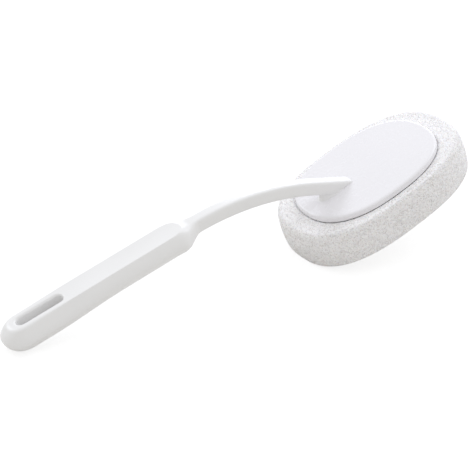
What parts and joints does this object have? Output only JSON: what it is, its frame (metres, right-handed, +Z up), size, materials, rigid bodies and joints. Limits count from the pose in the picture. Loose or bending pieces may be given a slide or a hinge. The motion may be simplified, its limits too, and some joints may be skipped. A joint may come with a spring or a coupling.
{
  "type": "sponge scrub brush",
  "caption": "Long-handled scrub brush with a hanging slot, a curved arm and an oval head plate that carries a thick peel-off foam pad.",
  "frame": {"origin": "on the table, under the middle of the brush's bounding box, with the brush leaning back on its butt and on the pad's rear lower edge", "axes": "+X along the brush from the butt to the pad's nose, +Y to the left seen from the butt, +Z up"},
  "size_m": [0.4034, 0.1014, 0.0885],
  "materials": {
    "white_plastic": "gloss",
    "plate_plastic": "gloss",
    "plated_steel": "satin",
    "hook_sheet": "satin",
    "loop_sheet": "matte",
    "white_foam": "matte"
  },
  "bodies": {
    "scrub_pad": {"sponge_pad": "white_foam", "loop_sheet": "loop_sheet"},
    "brush": {"handle": "white_plastic", "head_plate": "plate_plastic", "foot_screw_rear": "plated_steel", "foot_screw_front": "plated_steel", "hook_sheet": "hook_sheet"}
  },
  "joints": [
    {"name": "pad_lift_off", "type": "slide", "parent": "scrub_pad", "child": "brush", "axis": [-0.3739, 0, 0.9275], "range_m": [0, 0.03]}
  ]
}
